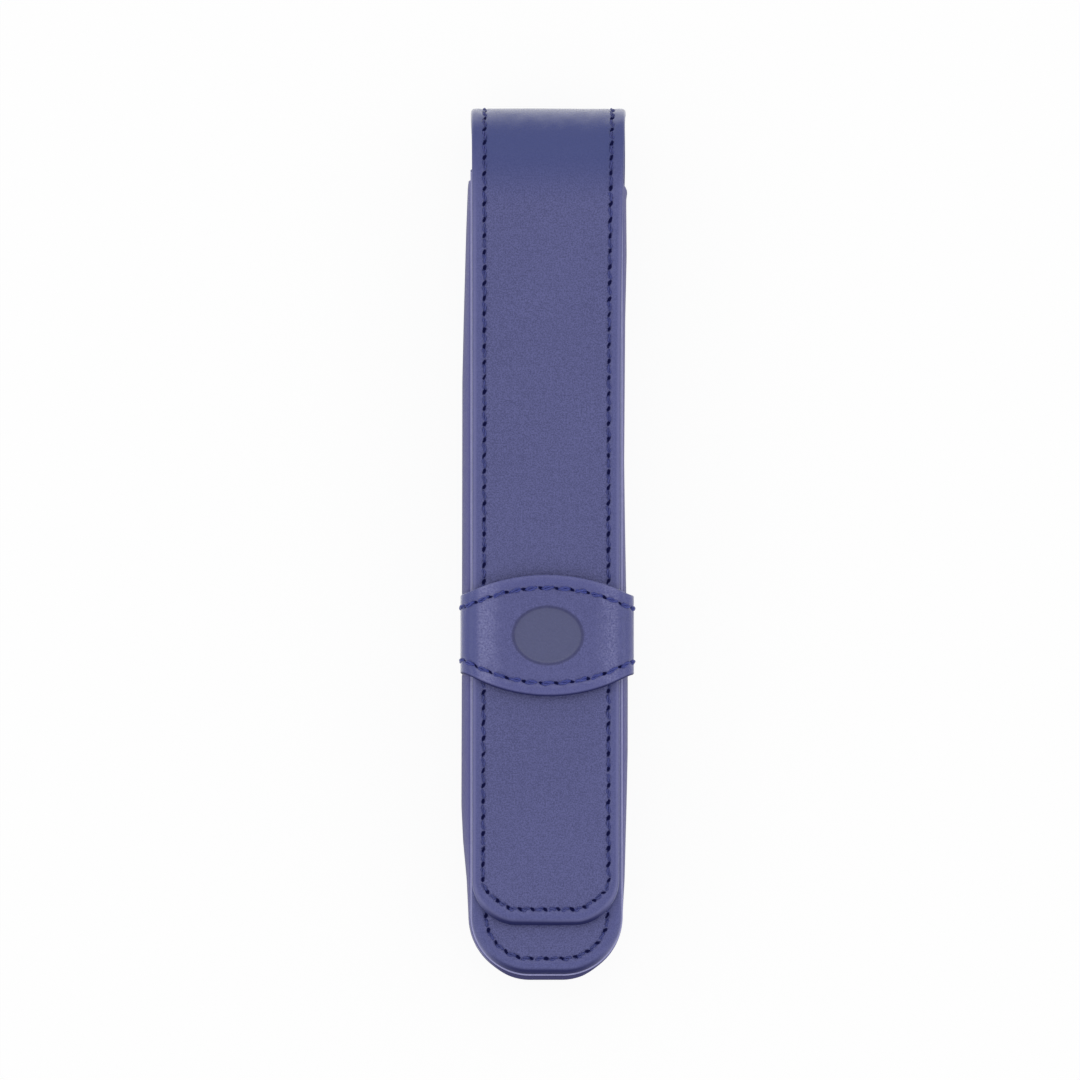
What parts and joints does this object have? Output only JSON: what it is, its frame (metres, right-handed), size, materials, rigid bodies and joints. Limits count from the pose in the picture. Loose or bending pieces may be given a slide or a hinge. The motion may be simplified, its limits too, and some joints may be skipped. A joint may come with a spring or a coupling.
{
  "type": "pen sleeve",
  "caption": "Slim leather sleeve for one pen: lined, gusseted pouch whose back turns over a rounded top fold into a long flap, tucked under a sewn barrel-shaped keeper band.",
  "frame": {"origin": "middle of the back face, on the surface that the closed sleeve lies on", "axes": "+X across to the viewer's right, +Y along the pen towards the top fold, +Z out of the front"},
  "size_m": [0.032, 0.16, 0.0197],
  "materials": {
    "leather": "smooth blue-violet calf leather with a fine grain and glossy painted edges",
    "gusset_leather": "thin, supple blue-violet leather",
    "keeper_leather": "thin blue-violet leather with fine wrinkles at the bends",
    "lining": "brushed navy microfibre",
    "board": "bonded leather stiffening board, hidden",
    "thread": "twisted blue sewing thread"
  },
  "bodies": {
    "case": {"back_panel": "leather", "back_board": "board", "back_lining": "lining", "front_panel": "leather", "front_board": "board", "front_lining": "lining", "gusset": "gusset_leather", "keeper_band": "keeper_leather", "keeper_lining": "lining", "back_seam_stitches": "thread", "front_seam_stitches": "thread", "mouth_stitches": "thread", "keeper_upper_stitches": "thread", "keeper_lower_stitches": "thread"},
    "top_fold": {"fold_leather": "leather", "fold_lining": "lining", "fold_stitches": "thread"},
    "flap": {"flap_leather": "leather", "flap_lining": "lining", "flap_stitches": "thread", "tail_leather": "leather", "tail_lining": "lining", "tail_stitches": "thread"}
  },
  "joints": [
    {"name": "rear_crease", "type": "hinge", "parent": "case", "child": "top_fold", "pos_m": [0, 0.07733, 0.00267], "axis": [-1, 0, 0], "range_deg": [0, 90]},
    {"name": "front_crease", "type": "hinge", "parent": "top_fold", "child": "flap", "pos_m": [0, 0.07733, 0.01553], "axis": [-1, 0, 0], "range_deg": [0, 90], "deforming": ["tail_leather", "tail_lining", "tail_stitches"]}
  ],
  "couplings": [
    {"joint": "front_crease", "follows": "rear_crease", "ratio": 1}
  ]
}
